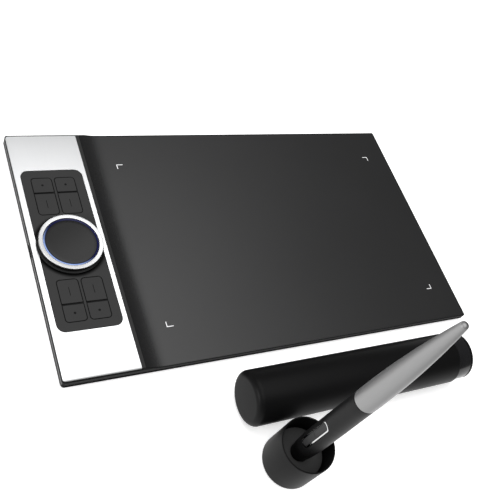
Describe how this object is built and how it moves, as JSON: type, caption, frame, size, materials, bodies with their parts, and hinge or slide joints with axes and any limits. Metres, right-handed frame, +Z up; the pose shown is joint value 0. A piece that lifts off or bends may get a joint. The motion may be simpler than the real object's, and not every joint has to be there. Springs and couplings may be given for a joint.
{
  "type": "pen drawing tablet",
  "caption": "Slim pen tablet with a silver control strip, turning dial, press keys and matte drawing area, with its pen standing in a cup and a round pen case beside it.",
  "frame": {"origin": "under the middle of the whole set's box, on the surface it stands on", "axes": "+X along the tablet's long side, away from the control strip; +Y away from the user, towards the tablet's back edge; +Z up"},
  "size_m": [0.281, 0.2416, 0.166],
  "materials": {
    "silver_metal": "brushed and anodised silver, fine lengthwise grain, bright bevelled edge",
    "polished_metal": "polished, mirror bright",
    "pen_silver": "satin grey-silver metallic paint",
    "case_black": "fine sparked black moulding",
    "dial_black": "smooth satin black",
    "key_black": "smooth matte black",
    "drawing_film": "matte charcoal film with a paper tooth and thin white corner marks",
    "light_ring": "frosted light guide lit blue",
    "board_green": "green solder mask",
    "rubber_grey": "grey silicone",
    "rubber_black": "matte black rubber",
    "steel": "plated steel",
    "chip_black": "moulded epoxy",
    "foil": "thin shielding foil",
    "flex_amber": "amber polyimide film",
    "satin_black": "satin black, very fine texture",
    "gloss_black": "polished black",
    "pen_black": "soft-touch matte black",
    "nib_white": "plain white acetal",
    "white_plastic": "plain white moulding",
    "copper": "enamelled copper winding"
  },
  "bodies": {
    "tablet": {"bottom_case": "case_black", "top_cover": "case_black", "drawing_film": "drawing_film", "silver_plate": "silver_metal", "key_bezel": "key_black", "main_board": "board_green", "dome_mat": "rubber_grey", "shield_can": "steel", "controller_chip": "chip_black", "antenna_board": "board_green", "shield_sheet": "foil", "board_link": "flex_amber", "usb_shell": "steel", "usb_tongue": "chip_black", "foot_1": "rubber_black", "foot_2": "rubber_black", "foot_3": "rubber_black", "foot_4": "rubber_black", "case_screw_1": "steel", "case_screw_2": "steel", "case_screw_3": "steel", "case_screw_4": "steel", "dial_post": "case_black", "encoder_board": "board_green", "touch_board": "board_green", "touch_disc": "key_black", "light_ring": "light_ring", "dial_flex": "flex_amber", "dial_screw_1": "steel", "dial_screw_2": "steel", "dial_screw_3": "steel"},
    "dial": {"dial_wheel": "dial_black", "dial_ring": "polished_metal", "encoder_magnet": "steel"},
    "key_1": {"key_1": "key_black"},
    "key_2": {"key_2": "key_black"},
    "key_3": {"key_3": "key_black"},
    "key_4": {"key_4": "key_black"},
    "key_5": {"key_5": "key_black"},
    "key_6": {"key_6": "key_black"},
    "key_7": {"key_7": "key_black"},
    "key_8": {"key_8": "key_black"},
    "stand": {"stand_cup": "satin_black", "stand_insert": "rubber_black", "stand_pad": "rubber_black"},
    "pen": {"pen_nose": "pen_black", "pen_barrel": "pen_black", "pen_tail": "pen_silver", "pen_coil": "copper", "pressure_sensor": "steel", "pen_board": "board_green", "pen_switch": "white_plastic", "pen_button_bezel": "polished_metal"},
    "nib": {"pen_nib": "nib_white"},
    "side_button": {"pen_button": "key_black"},
    "pen_case": {"case_tube": "satin_black", "case_neck": "gloss_black"},
    "case_end": {"case_plug": "satin_black", "nib_rack": "white_plastic"}
  },
  "joints": [
    {"name": "dial_turn", "type": "hinge", "parent": "tablet", "child": "dial", "pos_m": [-0.1186, 0.03975, 0.01], "axis": [0, 0, 1], "continuous": true},
    {"name": "key_1_press", "type": "slide", "parent": "tablet", "child": "key_1", "axis": [0, 0, -1], "range_m": [0, 0.0005], "stiffness_N_per_m": 300, "springref_m": -0.0006},
    {"name": "key_2_press", "type": "slide", "parent": "tablet", "child": "key_2", "axis": [0, 0, -1], "range_m": [0, 0.0005], "stiffness_N_per_m": 300, "springref_m": -0.0006},
    {"name": "key_3_press", "type": "slide", "parent": "tablet", "child": "key_3", "axis": [0, 0, -1], "range_m": [0, 0.0005], "stiffness_N_per_m": 300, "springref_m": -0.0006},
    {"name": "key_4_press", "type": "slide", "parent": "tablet", "child": "key_4", "axis": [0, 0, -1], "range_m": [0, 0.0005], "stiffness_N_per_m": 300, "springref_m": -0.0006},
    {"name": "key_5_press", "type": "slide", "parent": "tablet", "child": "key_5", "axis": [0, 0, -1], "range_m": [0, 0.0005], "stiffness_N_per_m": 300, "springref_m": -0.0006},
    {"name": "key_6_press", "type": "slide", "parent": "tablet", "child": "key_6", "axis": [0, 0, -1], "range_m": [0, 0.0005], "stiffness_N_per_m": 300, "springref_m": -0.0006},
    {"name": "key_7_press", "type": "slide", "parent": "tablet", "child": "key_7", "axis": [0, 0, -1], "range_m": [0, 0.0005], "stiffness_N_per_m": 300, "springref_m": -0.0006},
    {"name": "key_8_press", "type": "slide", "parent": "tablet", "child": "key_8", "axis": [0, 0, -1], "range_m": [0, 0.0005], "stiffness_N_per_m": 300, "springref_m": -0.0006},
    {"name": "stand_lift", "type": "slide", "parent": "tablet", "child": "stand", "axis": [0, 0, 1], "range_m": [0, 0.06]},
    {"name": "pen_lift", "type": "slide", "parent": "stand", "child": "pen", "axis": [0, 0, 1], "range_m": [0, 0.06]},
    {"name": "nib_press", "type": "slide", "parent": "pen", "child": "nib", "axis": [0, 0, 1], "range_m": [0, 0.001], "stiffness_N_per_m": 600, "springref_m": -0.0005},
    {"name": "side_button_rock", "type": "hinge", "parent": "pen", "child": "side_button", "pos_m": [-0.0339, -0.10525, 0.0465], "axis": [0, 1, 0], "range_deg": [-2.5, 2.5], "stiffness_Nm_per_rad": 0.05},
    {"name": "case_lift", "type": "slide", "parent": "tablet", "child": "pen_case", "axis": [0, 0, 1], "range_m": [0, 0.06]},
    {"name": "case_end_pull", "type": "slide", "parent": "pen_case", "child": "case_end", "axis": [1, 0, 0], "range_m": [0, 0.04]}
  ]
}
